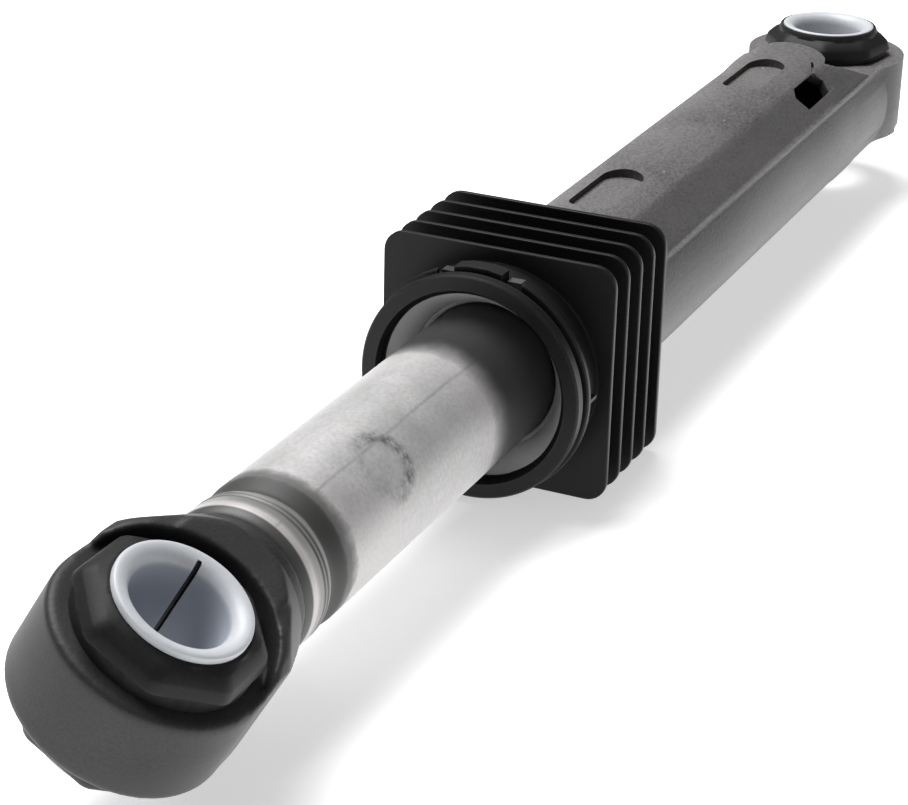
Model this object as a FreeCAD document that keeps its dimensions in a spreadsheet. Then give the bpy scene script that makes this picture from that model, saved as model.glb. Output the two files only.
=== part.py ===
import FreeCAD, Part
import math
import os
import re
import Sketcher

os.makedirs("parts", exist_ok=True)
doc = FreeCAD.newDocument("Absorber")

# Sizes in mm. X runs along the damper with the rod end at -X, Z stands out of the
# housing's slotted face, and the origin is the middle of the housing eye's bore.
SIZES = [
    ("mouth_x", -176.4), ("rod_eye_x", -270.5), ("rod_eye_turn", 31.0),
    # bores: 13 mm pin, split plastic sleeve in a rubber bush
    ("bore_radius", 6.5), ("sleeve_half", 12.5), ("sleeve_wall", 1.65),
    ("lip_wide", 0.95), ("lip_height", 0.95), ("lip_inner_round", 0.6),
    ("slit_width", 0.6), ("slit_depth", 1.35),
    ("slit_angle", 18.0), ("bush_radius", 11.2), ("fit_gap", 0.03),
    ("collar_top", 10.9), ("collar_mid", 12.3), ("collar_low", 12.9),
    ("collar_drop", 0.45), ("taper_height", 1.3), ("skirt_height", 1.6),
    ("neck_radius", 11.9), ("housing_bush_turn", -10.0), ("housing_rise", 0.9), ("rod_rise", 0.5),
    # housing: one moulded tube that ends in the eye block
    ("lining_room", 1.9), ("body_wall", 2.3), ("bore_end_x", -27.6), ("front_gap", 4.6),
    ("flank_half", 13.5), ("flank_height", 7.8), ("flank_low", 7.2), ("eye_radius", 15.7),
    ("eye_low_round", 1.1), ("flank_front", 33.0), ("eye_blend", 2.2),
    ("deck_end_x", -23.8), ("deck_end_z", 11.6), ("ramp_top_x", -28.3), ("ramp_top_z", 13.3),
    ("ramp_foot_x", -13.7), ("deck_half", 7.5), ("deck_corner", 3.0), ("low_end_radius", 24.1),
    ("slot_far_x", -47.5), ("slot_near_x", -122.3), ("slot_length", 21.0), ("slot_width", 7.2),
    ("slot_depth", 1.5), ("window_low_x", -48.1), ("window_high_x", -32.8),
    ("window_low_t", -2.1), ("window_high_t", 2.87), ("window_lean", 48.7),
    ("seam_z", 12.9),
    ("tooth_inner_y", 4.2), ("tooth_outer_y", 6.4), ("tooth_front", 3.8), ("tooth_back", 5.6),
    # finned collar over the housing mouth
    ("ring_wall", 2.35), ("ring_thick", 1.8), ("lip_back", 2.0),
    ("rim_front", 3.0), ("rim_back", 3.9), ("hub_wall", 1.55), ("hub_back", 32.0),
    ("fin_half", 18.95), ("fin_round", 3.4), ("fin_first", 9.9), ("fin_thick", 0.9),
    ("fin_pitch", 5.2), ("notch_inner_y", 3.85), ("notch_outer_y", 6.8),
    ("notch_back", 6.3), ("web_thick", 0.6), ("web_back", 6.4),
    ("tab_front", 2.5), ("tab_back", 5.2), ("tab_rise", 0.2),
    # mouth guide, friction sleeve and its retainer
    ("guide_front", 2.05), ("guide_flange_back", 4.5), ("guide_back", 10.0),
    ("cone_room", 0.9), ("cone_back", 5.6), ("land_play", 0.08), ("land_front", 7.4),
    ("pad_play", 0.05), ("pad_front", 10.05), ("pad_back", 34.0), ("pad_split", 1.0),
    ("retainer_front", 34.05), ("retainer_back", 37.0), ("retainer_play", 0.4),
    ("retainer_bead_front", 35.0), ("retainer_bead_back", 36.0), ("retainer_bite", 0.4),
    ("retainer_split", 3.0),
    # rod tube
    ("tube_radius", 11.0), ("tube_wall", 1.0), ("tube_front", -72.0), ("tube_back", 56.0),
    ("crimp_front", -66.0), ("crimp_mid", -63.6), ("crimp_back", -60.8), ("crimp_depth", 0.85),
    ("curl_depth", 0.75), ("curl_back", -70.4), ("hoop_depth", 0.14),
    ("bead_front", 49.6), ("bead_back", 51.6), ("bead_depth", 0.6),
    # sliding guide on the inner end of the tube
    ("slider_gap", 0.07), ("slider_play", 0.06), ("slider_front", 46.0), ("slider_back", 56.4),
    # rod end
    ("rod_eye_radius", 14.5), ("rod_eye_half", 6.7), ("rod_eye_round", 0.8),
    ("pocket_radius", 13.7), ("rise_start", 3.0), ("rise_end", 9.8), ("rise_height", 10.7),
    ("shoulder_front", 17.6), ("plug_back", 40.0), ("neck_wide", 14.15),
    ("neck_mid_x", 12.0), ("neck_mid_radius", 14.6), ("neck_end_radius", 12.2),
]

# Sizes that follow from the ones above and a named clearance or wall
WORKED = [
    ("body_bore", "tube_radius+lining_room"), ("body_radius", "body_bore+body_wall"),
    ("sleeve_radius", "bore_radius+sleeve_wall"), ("lip_radius", "sleeve_radius+lip_wide"),
    ("collar_top_z", "sleeve_half-lip_height-collar_drop"),
    ("collar_mid_z", "collar_top_z-taper_height"), ("collar_low_z", "collar_mid_z-skirt_height"),
    ("slot_floor", "body_radius-slot_depth"),
    ("tooth_low_z", "body_radius-0.25"), ("tooth_top_z", "body_radius+1.4"),
    ("seat_radius", "body_radius+0.05"), ("hub_radius", "seat_radius+hub_wall"),
    ("ring_open", "body_radius+0.2"), ("ring_radius", "ring_open+ring_wall"),
    ("lip_open", "body_radius-0.6"), ("waist_radius", "body_radius+1.2"),
    ("rim_radius", "ring_radius+0.4"),
    ("guide_flange_radius", "body_radius-0.05"), ("guide_spigot", "body_bore-0.05"),
    ("cone_small", "tube_radius+cone_room"), ("guide_land", "tube_radius+land_play"),
    ("pad_inner", "tube_radius+pad_play"), ("retainer_inner", "tube_radius+retainer_play"),
    ("retainer_bead", "body_bore+retainer_bite"),
    ("retainer_groove_radius", "retainer_bead+0.1"),
    ("crimp_radius", "tube_radius-crimp_depth"), ("curl_radius", "tube_radius-curl_depth"),
    ("bead_radius", "tube_radius-bead_depth"),
    ("slider_radius", "body_bore-slider_gap"), ("slider_bore", "tube_radius+slider_play"),
    ("slider_key", "bead_radius+0.16"),
    ("shoulder_radius", "tube_radius-0.05"), ("plug_radius", "tube_radius-tube_wall-0.05"),
    ("plug_neck", "curl_radius-1.1"), ("plug_groove", "crimp_radius-tube_wall-0.1"),
    ("eye_to_mouth", "mouth_x-rod_eye_x"), ("shoulder_back", "eye_to_mouth+tube_front-0.1"),
]

sheet = doc.addObject("Spreadsheet::Sheet", "Sizes")
VALUE = {}
for row, (alias, number) in enumerate(SIZES, start=1):
    sheet.set("A%d" % row, alias)
    sheet.set("B%d" % row, str(number))
    sheet.setAlias("B%d" % row, alias)
    VALUE[alias] = float(number)
doc.recompute()


def link(term):
    """A size term written with plain names, as an expression on the sheet."""
    out = term
    for name, rule in reversed(WORKED):
        out = re.sub(r"\b%s\b" % name, "(%s)" % rule, out)
    for name in sorted(VALUE, key=len, reverse=True):
        out = out.replace(name, "@%d@" % list(VALUE).index(name))
    for index, name in enumerate(VALUE):
        out = out.replace("@%d@" % index, "Sizes." + name)
    return out


def number_of(term):
    """The number that a size term stands for, worked out by the sheet itself."""
    probe = doc.addObject("App::FeaturePython", "Probe")
    probe.addProperty("App::PropertyFloat", "Result")
    probe.setExpression("Result", link(term))
    doc.recompute([probe])
    result = probe.Result
    doc.removeObject(probe.Name)
    return result


KNOWN = {}


def amount(term):
    if term not in KNOWN:
        KNOWN[term] = number_of(term)
    return KNOWN[term]


def origin_plane(body, role):
    return [f for f in body.Origin.OriginFeatures if f.Role == role][0]


def new_body(name):
    body = doc.addObject("PartDesign::Body", name)
    body.Label = name
    return body


def new_sketch(body, name, role, offset=None):
    """A sketch on one of the body's own planes, moved along the plane's normal."""
    sketch = body.newObject("Sketcher::SketchObject", name)
    sketch.AttachmentSupport = [(origin_plane(body, role), "")]
    sketch.MapMode = "FlatFace"
    if offset is not None:
        sketch.setExpression("AttachmentOffset.Base.z", link(offset))
    return sketch


def pin(sketch, geometry, end, across, along):
    """Ties one point of the sketch to two sizes of the sheet."""
    for kind, term in (("DistanceX", across), ("DistanceY", along)):
        index = sketch.addConstraint(
            Sketcher.Constraint(kind, -1, 1, geometry, end, amount(term)))
        sketch.setExpression("Constraints[%d]" % index, link(term))


def outline(sketch, points):
    """A closed outline of straight edges through points given as size terms."""
    spots = [FreeCAD.Vector(amount(a), amount(b), 0) for a, b in points]
    first = sketch.GeometryCount
    count = len(spots)
    for i in range(count):
        sketch.addGeometry(Part.LineSegment(spots[i], spots[(i + 1) % count]), False)
    for i in range(count):
        following = first + (i + 1) % count
        sketch.addConstraint(Sketcher.Constraint("Coincident", first + i, 2, following, 1))
    for i, (across, along) in enumerate(points):
        pin(sketch, first + i, 1, across, along)


def ring(sketch, radius, across="0", along="0"):
    """A full circle with its centre and radius tied to the sheet."""
    middle = FreeCAD.Vector(amount(across), amount(along), 0)
    normal = FreeCAD.Vector(0, 0, 1)
    index = sketch.addGeometry(Part.Circle(middle, normal, amount(radius)), False)
    if across == "0" and along == "0":
        sketch.addConstraint(Sketcher.Constraint("Coincident", index, 3, -1, 1))
    else:
        pin(sketch, index, 3, across, along)
    bound = sketch.addConstraint(Sketcher.Constraint("Radius", index, amount(radius)))
    sketch.setExpression("Constraints[%d]" % bound, link(radius))


def turned(body, name, points, axis="H_Axis", groove=False):
    """Turns an outline drawn in the XZ plane about the X or the Z axis."""
    sketch = new_sketch(body, name + "Sketch", "XZ_Plane")
    outline(sketch, points)
    kind = "PartDesign::Groove" if groove else "PartDesign::Revolution"
    feature = body.newObject(kind, name)
    feature.Profile = sketch
    feature.ReferenceAxis = (sketch, [axis])
    feature.Angle = 360
    doc.recompute()
    return feature


def pad(body, name, sketch, length, middle=False, back=False):
    feature = body.newObject("PartDesign::Pad", name)
    feature.Profile = sketch
    feature.setExpression("Length", link(length))
    feature.Midplane = middle
    feature.Reversed = back
    doc.recompute()
    return feature


def pocket(body, name, sketch, length, middle=False, back=False):
    before = body.Shape.Volume
    feature = body.newObject("PartDesign::Pocket", name)
    feature.Profile = sketch
    feature.setExpression("Length", link(length))
    feature.Midplane = middle
    feature.Reversed = back
    doc.recompute()
    if not body.Shape.Volume < before - 1e-6:
        raise RuntimeError(name + " cuts nothing")
    return feature


def edges_where(shape, test):
    return ["Edge%d" % (i + 1) for i, edge in enumerate(shape.Edges) if test(edge)]


def rounded(body, name, test, radius):
    base = body.Tip
    chosen = edges_where(base.Shape, test)
    if not chosen:
        raise RuntimeError(name + " finds no edge")
    feature = body.newObject("PartDesign::Fillet", name)
    feature.Base = (base, chosen)
    feature.setExpression("Radius", link(radius))
    doc.recompute()
    return feature


def along_x(body, start="mouth_x"):
    body.setExpression("Placement.Base.x", link(start))


def at_rod_eye(body):
    """Sets a body that is drawn about its own bore into the rod's turned eye."""
    body.setExpression("Placement.Base.x", link("rod_eye_x"))
    body.Placement.Rotation = FreeCAD.Rotation(FreeCAD.Vector(1, 0, 0), amount("rod_eye_turn"))
    body.setExpression("Placement.Rotation.Angle", link("rod_eye_turn"))


# Housing: tube, flanks and eye block in one moulding
housing = new_body("housing")
turned(housing, "HousingTube", [
    ("mouth_x+front_gap", "0"), ("mouth_x+front_gap", "body_radius"), ("-6", "body_radius"),
    ("-6", "0")])
flank = new_sketch(housing, "FlankSketch", "XY_Plane", "-flank_low")
outline(flank, [
    ("mouth_x+flank_front", "-flank_half"), ("0", "-flank_half"), ("0", "flank_half"),
    ("mouth_x+flank_front", "flank_half")])
pad(housing, "Flanks", flank, "flank_height+flank_low")
turned(housing, "Bore", [
    ("mouth_x+front_gap-0.5", "0"), ("mouth_x+front_gap-0.5", "body_bore+0.6"),
    ("mouth_x+front_gap", "body_bore+0.6"), ("mouth_x+front_gap+1.2", "body_bore"),
    ("mouth_x+retainer_bead_front-0.1", "body_bore"),
    ("mouth_x+retainer_bead_front-0.1", "retainer_groove_radius"),
    ("mouth_x+retainer_bead_back+0.1", "retainer_groove_radius"),
    ("mouth_x+retainer_bead_back+0.1", "body_bore"), ("bore_end_x", "body_bore"),
    ("bore_end_x", "0")], groove=True)
block = new_sketch(housing, "BlockSketch", "XY_Plane", "-flank_low")
reach = "sqrt(eye_radius^2-flank_half^2)"
outline(block, [
    ("bore_end_x+0.1", "-flank_half"), ("-" + reach + "-eye_blend", "-flank_half"),
    ("-" + reach, "-flank_half-0.13*eye_blend"),
    ("-" + reach + "+0.8*eye_blend", "-flank_half-0.4*eye_blend"),
    ("0", "-flank_half-0.4*eye_blend"), ("0", "flank_half+0.4*eye_blend"),
    ("-" + reach + "+0.8*eye_blend", "flank_half+0.4*eye_blend"),
    ("-" + reach, "flank_half+0.13*eye_blend"),
    ("-" + reach + "-eye_blend", "flank_half"), ("bore_end_x+0.1", "flank_half")])
pad(housing, "Block", block, "flank_height+flank_low")
eye = new_sketch(housing, "EyeSketch", "XY_Plane", "-flank_low")
ring(eye, "eye_radius")
pad(housing, "Eye", eye, "flank_height+flank_low")
low_clear = new_sketch(housing, "LowClearSketch", "XY_Plane", "-flank_low")
ring(low_clear, "low_end_radius")
pocket(housing, "LowClear", low_clear, "12")
# above the eye the tube's back runs down a ramp, and a narrow deck stands over it
ahead = new_sketch(housing, "AheadSketch", "XZ_Plane")
outline(ahead, [
    ("deck_end_x", "deck_end_z"), ("ramp_foot_x", "flank_height"), ("30", "flank_height"),
    ("30", "body_radius+5"), ("deck_end_x", "body_radius+5")])
pocket(housing, "Ahead", ahead, "60", middle=True)
for word, level, back in (("Near", "deck_half", True), ("Far", "-deck_half", False)):
    ramp = new_sketch(housing, word + "RampSketch", "XZ_Plane", level)
    outline(ramp, [
        ("ramp_top_x", "ramp_top_z"), ("deck_end_x+0.5", "deck_end_z-0.2"),
        ("deck_end_x+0.5", "body_radius+5"), ("ramp_top_x", "body_radius+5")])
    pocket(housing, word + "Ramp", ramp, "20", back=back)
corners = new_sketch(housing, "DeckCornerSketch", "XY_Plane", "deck_end_z+0.1")
for side in ("", "-"):
    arc = [
        ("deck_end_x-deck_corner*(1-cos(%d))" % turn,
         side + "(deck_half-deck_corner*(1-sin(%d)))" % turn) for turn in (0, 30, 60, 90)]
    outline(corners, arc + [
        ("deck_end_x-deck_corner", side + "(deck_half+0.3)"),
        ("deck_end_x+0.3", side + "(deck_half+0.3)"),
        ("deck_end_x+0.3", side + "(deck_half-deck_corner)")])
pocket(housing, "DeckCorners", corners, "5", back=True)
low_rim = new_sketch(housing, "EyeLowRimSketch", "XZ_Plane")
outline(low_rim, [
    ("eye_radius-eye_low_round", "-flank_low"),
    ("eye_radius-0.3*eye_low_round", "-flank_low+0.3*eye_low_round"),
    ("eye_radius", "-flank_low+eye_low_round"), ("eye_radius+2", "-flank_low+eye_low_round"),
    ("eye_radius+2", "-flank_low-1"), ("eye_radius-eye_low_round", "-flank_low-1")])
low_round = housing.newObject("PartDesign::Groove", "EyeLowRim")
low_round.Profile = low_rim
low_round.ReferenceAxis = (low_rim, ["V_Axis"])
low_round.Angle = 180
low_round.Midplane = True
doc.recompute()
bush_hole = new_sketch(housing, "BushHoleSketch", "XY_Plane")
ring(bush_hole, "bush_radius")
pocket(housing, "BushHole", bush_hole, "40", middle=True)
for name, centre in (("FarSlot", "slot_far_x"), ("NearSlot", "slot_near_x")):
    slot = new_sketch(housing, name + "Sketch", "XY_Plane", "slot_floor")
    half = "(slot_length-slot_width)/2"
    outline(slot, [(centre + "-" + half, "-slot_width/2"), (centre + "+" + half, "-slot_width/2"),
                   (centre + "+" + half, "slot_width/2"), (centre + "-" + half, "slot_width/2")])
    pocket(housing, name, slot, "4", back=True)
    for end, sign in (("Inner", "-"), ("Outer", "+")):
        cap = new_sketch(housing, name + end + "Sketch", "XY_Plane", "slot_floor")
        ring(cap, "slot_width/2", centre + sign + half, "0")
        pocket(housing, name + end, cap, "4", back=True)
window = new_sketch(housing, "WindowSketch", "XZ_Plane")
window.AttachmentOffset = FreeCAD.Placement(
    FreeCAD.Vector(0, 0, 0), FreeCAD.Rotation(FreeCAD.Vector(1, 0, 0), 30))
window.setExpression("AttachmentOffset.Rotation.Angle", link("360-window_lean"))
outline(window, [
    ("window_low_x", "window_high_t-1.6"), ("window_low_x+1.2", "window_low_t"),
    ("window_high_x-1.4", "window_low_t+0.1"), ("window_high_x", "window_high_t-2.3"),
    ("window_high_x-1.6", "window_high_t"), ("window_low_x+1.5", "window_high_t")])
pocket(housing, "Window", window, "body_radius+3", back=True)
seam = new_sketch(housing, "SeamSketch", "XY_Plane", "seam_z")
outline(seam, [
    ("window_high_x-2.4", "-deck_half-0.6"), ("window_high_x-2.2", "-deck_half+0.1"),
    ("window_high_x+2.1", "-deck_half+1.6"), ("window_high_x+2.2", "-deck_half+1.1")])
pocket(housing, "Seam", seam, "5", back=True)
for name, start, length, low, high in (
        ("ToothRoots", "mouth_x+front_gap+0.1", "tooth_back-front_gap-0.1", "body_bore+0.7",
         "body_radius+0.1"),
        ("Teeth", "mouth_x+tooth_front", "tooth_back-tooth_front", "tooth_low_z", "tooth_top_z")):
    teeth = new_sketch(housing, name + "Sketch", "YZ_Plane", start)
    for across in ("", "-"):
        for up in ("", "-"):
            outline(teeth, [
                (across + "tooth_inner_y", up + low), (across + "tooth_outer_y", up + low),
                (across + "tooth_outer_y", up + high), (across + "tooth_inner_y", up + high)])
    pad(housing, name, teeth, length)

# Finned collar: front ring, waist, latch rim and five cooling plates in one moulding
collar = new_body("finned_collar")
along_x(collar)
turned(collar, "CollarHub", [
    ("0", "ring_open"), ("0", "ring_radius-0.25"), ("0.25", "ring_radius"),
    ("ring_thick", "ring_radius"), ("ring_thick", "waist_radius"), ("rim_front", "waist_radius"),
    ("rim_front", "rim_radius-0.2"), ("rim_front+0.2", "rim_radius"), ("rim_back", "rim_radius"),
    ("rim_back", "hub_radius"), ("hub_back", "hub_radius"), ("hub_back", "seat_radius"),
    ("lip_back", "seat_radius"), ("lip_back", "lip_open"), ("1.1", "lip_open")])
plate = new_sketch(collar, "PlateSketch", "YZ_Plane", "fin_first")
outline(plate, [("-fin_half", "-fin_half"), ("fin_half", "-fin_half"), ("fin_half", "fin_half"),
                ("-fin_half", "fin_half")])
ring(plate, "hub_radius-0.8")
first_plate = pad(collar, "FirstPlate", plate, "fin_thick")
corner = VALUE["fin_half"]
rounded(collar, "PlateCorners",
        lambda e: min(abs(abs(v.Y) - corner) + abs(abs(v.Z) - corner) for v in e.Vertexes) < 1e-3
        and e.BoundBox.XLength > 0.5 and e.BoundBox.YLength < 1e-3, "fin_round")
for number in range(2, 6):
    start = "fin_first+%d*fin_pitch" % (number - 1)
    sketch = new_sketch(collar, "Plate%dSketch" % number, "YZ_Plane", start)
    outline(sketch, [
        ("-fin_half", "-fin_half"), ("fin_half", "-fin_half"), ("fin_half", "fin_half"),
        ("-fin_half", "fin_half")])
    ring(sketch, "hub_radius-0.8")
    pad(collar, "Plate%d" % number, sketch, "fin_thick")
    low = amount(start) - 0.01
    rounded(collar, "Plate%dCorners" % number,
            lambda e: min(abs(abs(v.Y) - corner) + abs(abs(v.Z) - corner) for v in e.Vertexes) < 1e-3
            and e.BoundBox.XLength > 0.5 and e.BoundBox.YLength < 1e-3 and e.BoundBox.XMin > low,
            "fin_round")
notch = new_sketch(collar, "NotchSketch", "YZ_Plane", "ring_thick")
for across in ("", "-"):
    for up in ("", "-"):
        outline(notch, [
            (across + "notch_inner_y", up + "(body_bore+0.1)"),
            (across + "notch_outer_y", up + "(body_bore+0.1)"),
            (across + "notch_outer_y", up + "(rim_radius+2)"),
            (across + "notch_inner_y", up + "(rim_radius+2)")])
pocket(collar, "Notches", notch, "notch_back-ring_thick", back=True)
tab = new_sketch(collar, "TabSketch", "YZ_Plane", "tab_front")
for up in ("", "-"):
    outline(tab, [
        ("-notch_inner_y", up + "(waist_radius-0.6)"), ("notch_inner_y", up + "(waist_radius-0.6)"),
        ("notch_inner_y", up + "(rim_radius+tab_rise-0.45)"), ("1.6", up + "(rim_radius+tab_rise)"),
        ("-1.6", up + "(rim_radius+tab_rise)"),
        ("-notch_inner_y", up + "(rim_radius+tab_rise-0.45)")])
pad(collar, "LatchTabs", tab, "tab_back-tab_front")
web = new_sketch(collar, "WebSketch", "YZ_Plane", "rim_back")
for side in ("", "-"):
    outline(web, [
        (side + "(hub_radius-0.6)", "-web_thick/2"), (side + "(rim_radius-0.1)", "-web_thick/2"),
        (side + "(rim_radius-0.1)", "web_thick/2"), (side + "(hub_radius-0.6)", "web_thick/2")])
pad(collar, "Webs", web, "web_back-rim_back")

# Mouth guide: the grey funnel ring that carries the rod at the mouth
guide = new_body("mouth_guide")
along_x(guide)
turned(guide, "GuideRing", [
    ("guide_front", "lip_open"), ("guide_front", "guide_flange_radius"),
    ("guide_flange_back", "guide_flange_radius"), ("guide_flange_back", "body_bore+0.45"),
    ("front_gap+1.3", "guide_spigot"), ("guide_back", "guide_spigot"),
    ("guide_back", "guide_land"), ("land_front", "guide_land"),
    ("land_front-0.8", "cone_small"), ("cone_back", "cone_small")])

# Friction sleeve: a foam strip rolled round the rod, its ends meeting below
lining = new_body("friction_pad")
along_x(lining)
turned(lining, "PadRoll", [
    ("pad_front", "pad_inner"), ("pad_front", "body_bore-fit_gap"),
    ("pad_back", "body_bore-fit_gap"), ("pad_back", "pad_inner")])
split = new_sketch(lining, "PadSplitSketch", "XY_Plane")
outline(split, [("pad_front-1", "-pad_split/2"), ("pad_back+1", "-pad_split/2"),
                ("pad_back+1", "pad_split/2"), ("pad_front-1", "pad_split/2")])
pocket(lining, "PadSplit", split, "20")

# Retainer: a split ring that snaps into the housing groove behind the friction sleeve
retainer = new_body("pad_retainer")
along_x(retainer)
turned(retainer, "RetainerRing", [
    ("retainer_front", "retainer_inner"), ("retainer_front", "body_bore-fit_gap"),
    ("retainer_bead_front", "body_bore-fit_gap"), ("retainer_bead_front", "retainer_bead"),
    ("retainer_bead_back", "retainer_bead"), ("retainer_bead_back", "body_bore-fit_gap"),
    ("retainer_back", "body_bore-fit_gap"), ("retainer_back", "retainer_inner")])
gap = new_sketch(retainer, "RetainerGapSketch", "XY_Plane")
outline(gap, [("retainer_front-1", "-retainer_split/2"), ("retainer_back+1", "-retainer_split/2"),
              ("retainer_back+1", "retainer_split/2"), ("retainer_front-1", "retainer_split/2")])
pocket(retainer, "RetainerGap", gap, "20")

# Rod tube: thin steel, rolled into the rod end's groove and curled over its shoulder
tube = new_body("rod_tube")
along_x(tube)
turned(tube, "TubeWall", [
    ("tube_front", "curl_radius-0.85"), ("tube_front", "curl_radius"),
    ("tube_front+0.5", "tube_radius-0.25"), ("curl_back", "tube_radius"),
    ("crimp_front-1.3", "tube_radius"), ("crimp_front-1.15", "tube_radius-hoop_depth"),
    ("crimp_front-1", "tube_radius"), ("crimp_front-0.5", "tube_radius"),
    ("crimp_front-0.35", "tube_radius-hoop_depth"), ("crimp_front-0.2", "tube_radius"),
    ("crimp_front+0.3", "tube_radius-0.1"), ("crimp_mid-0.8", "crimp_radius+0.1"),
    ("crimp_mid", "crimp_radius"), ("crimp_mid+0.7", "crimp_radius+0.15"),
    ("crimp_back-0.6", "tube_radius-0.12"), ("crimp_back", "tube_radius"),
    ("bead_front", "tube_radius"), ("bead_front+0.5", "bead_radius"),
    ("bead_back-0.5", "bead_radius"), ("bead_back", "tube_radius"),
    ("tube_back-0.3", "tube_radius"), ("tube_back", "tube_radius-0.3"),
    ("tube_back", "tube_radius-tube_wall"), ("bead_back+0.3", "tube_radius-tube_wall"),
    ("bead_back-0.3", "bead_radius-tube_wall"), ("bead_front+0.3", "bead_radius-tube_wall"),
    ("bead_front-0.3", "tube_radius-tube_wall"), ("crimp_back+0.3", "tube_radius-tube_wall"),
    ("crimp_mid+1", "crimp_radius-tube_wall"), ("crimp_mid-1", "crimp_radius-tube_wall"),
    ("crimp_front-0.3", "tube_radius-tube_wall"), ("curl_back-0.2", "tube_radius-tube_wall"),
    ("tube_front+0.9", "curl_radius-0.85")])

# Sliding guide: plastic ring that runs in the housing bore, keyed on the tube's bead
slider = new_body("rod_guide")
along_x(slider)
turned(slider, "SliderRing", [
    ("slider_front", "slider_bore"), ("slider_front", "slider_radius-0.5"),
    ("slider_front+0.5", "slider_radius"), ("slider_back-3", "slider_radius"),
    ("slider_back-3", "slider_radius-0.5"), ("slider_back-2.2", "slider_radius-0.5"),
    ("slider_back-2.2", "slider_radius"), ("slider_back-0.5", "slider_radius"),
    ("slider_back", "slider_radius-0.5"), ("slider_back", "slider_bore"),
    ("bead_back-0.05", "slider_bore"), ("bead_back-0.6", "slider_key"),
    ("bead_front+0.6", "slider_key"), ("bead_front+0.05", "slider_bore")])

# Rod end: eye, shoulder and plug in one moulding, drawn about its own bore
rod_end = new_body("rod_end")
at_rod_eye(rod_end)
side = new_sketch(rod_end, "SideSketch", "XZ_Plane")
rise_mid = "(rise_height+0.8*rod_eye_half)/1.8"
outline(side, [
    ("0", "-rod_eye_half"), ("rise_start", "-rod_eye_half"),
    ("(rise_start+rise_end)/2.35", "-" + rise_mid), ("rise_end", "-rise_height"),
    ("shoulder_front+1", "-rise_height-1.2"), ("shoulder_front+1", "rise_height+1.2"),
    ("rise_end", "rise_height"), ("(rise_start+rise_end)/2.35", rise_mid),
    ("rise_start", "rod_eye_half"), ("0", "rod_eye_half")])
pad(rod_end, "NeckSide", side, "2*neck_wide+0.3", middle=True)
plan = new_sketch(rod_end, "PlanSketch", "XY_Plane")
for across in ("", "-"):
    outline(plan, [
        ("3.2", across + "neck_wide"), ("neck_mid_x-3", across + "(neck_wide-0.3)"),
        ("shoulder_front+2", across + "(shoulder_radius+0.6)"),
        ("shoulder_front+2", across + "(neck_wide+6)"), ("3.2", across + "(neck_wide+6)")])
pocket(rod_end, "NeckPlan", plan, "40", middle=True)
cheek = new_sketch(rod_end, "CheekSketch", "YZ_Plane")
for across in ("", "-"):
    for up in ("", "-"):
        outline(cheek, [
            (across + "(neck_wide+0.45)", up + "(rise_height-4.1)"),
            (across + "(neck_wide-0.25)", up + "(rise_height-2.4)"),
            (across + "(neck_wide-1.55)", up + "(rise_height-1.1)"),
            (across + "(neck_wide-3.55)", up + "(rise_height-0.25)"),
            (across + "(neck_wide-6.15)", up + "(rise_height+0.05)"),
            (across + "(neck_wide-6.15)", up + "(rise_height+3)"),
            (across + "(neck_wide+3)", up + "(rise_height+3)"),
            (across + "(neck_wide+3)", up + "(rise_height-4.1)")])
pocket(rod_end, "CheekRound", cheek, "shoulder_front+1", back=True)
turned(rod_end, "NeckRound", [
    ("neck_mid_x-6.5", "neck_mid_radius+2.6"), ("neck_mid_x", "neck_mid_radius"),
    ("shoulder_front+0.7", "neck_end_radius"), ("shoulder_front+2", "neck_end_radius-0.6"),
    ("shoulder_front+2", "neck_mid_radius+10"), ("neck_mid_x-6.5", "neck_mid_radius+10")],
    groove=True)
turned(rod_end, "EyeDisc", [
    ("0", "-rod_eye_half"), ("rod_eye_radius-rod_eye_round", "-rod_eye_half"),
    ("rod_eye_radius-0.3*rod_eye_round", "-rod_eye_half+0.3*rod_eye_round"),
    ("rod_eye_radius", "-rod_eye_half+rod_eye_round"),
    ("rod_eye_radius", "rod_eye_half-rod_eye_round"),
    ("rod_eye_radius-0.3*rod_eye_round", "rod_eye_half-0.3*rod_eye_round"),
    ("rod_eye_radius-rod_eye_round", "rod_eye_half"), ("0", "rod_eye_half")], axis="V_Axis")
for sign, name in (("", "Upper"), ("-", "Lower")):
    well = new_sketch(rod_end, name + "WellSketch", "XY_Plane", sign + "rod_eye_half")
    ring(well, "pocket_radius")
    pocket(rod_end, name + "Well", well, "12", back=(sign == ""))
turned(rod_end, "Plug", [
    ("shoulder_front", "0"), ("shoulder_front", "shoulder_radius-0.3"),
    ("shoulder_front+0.3", "shoulder_radius"), ("shoulder_back-0.25", "shoulder_radius"),
    ("shoulder_back", "shoulder_radius-0.25"), ("shoulder_back", "plug_neck+0.15"),
    ("shoulder_back+1.1", "plug_neck+0.15"), ("shoulder_back+2", "plug_radius"),
    ("eye_to_mouth+crimp_front-0.4", "plug_radius"), ("eye_to_mouth+crimp_mid-1.3", "plug_groove"),
    ("eye_to_mouth+crimp_mid+1.3", "plug_groove"), ("eye_to_mouth+crimp_back+0.6", "plug_radius"),
    ("plug_back-1.5", "plug_radius"), ("plug_back", "plug_radius-1.2"),
    ("plug_back", "0")])
rod_hole = new_sketch(rod_end, "RodHoleSketch", "XY_Plane")
ring(rod_hole, "bush_radius")
pocket(rod_end, "RodHole", rod_hole, "40", middle=True)


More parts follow.
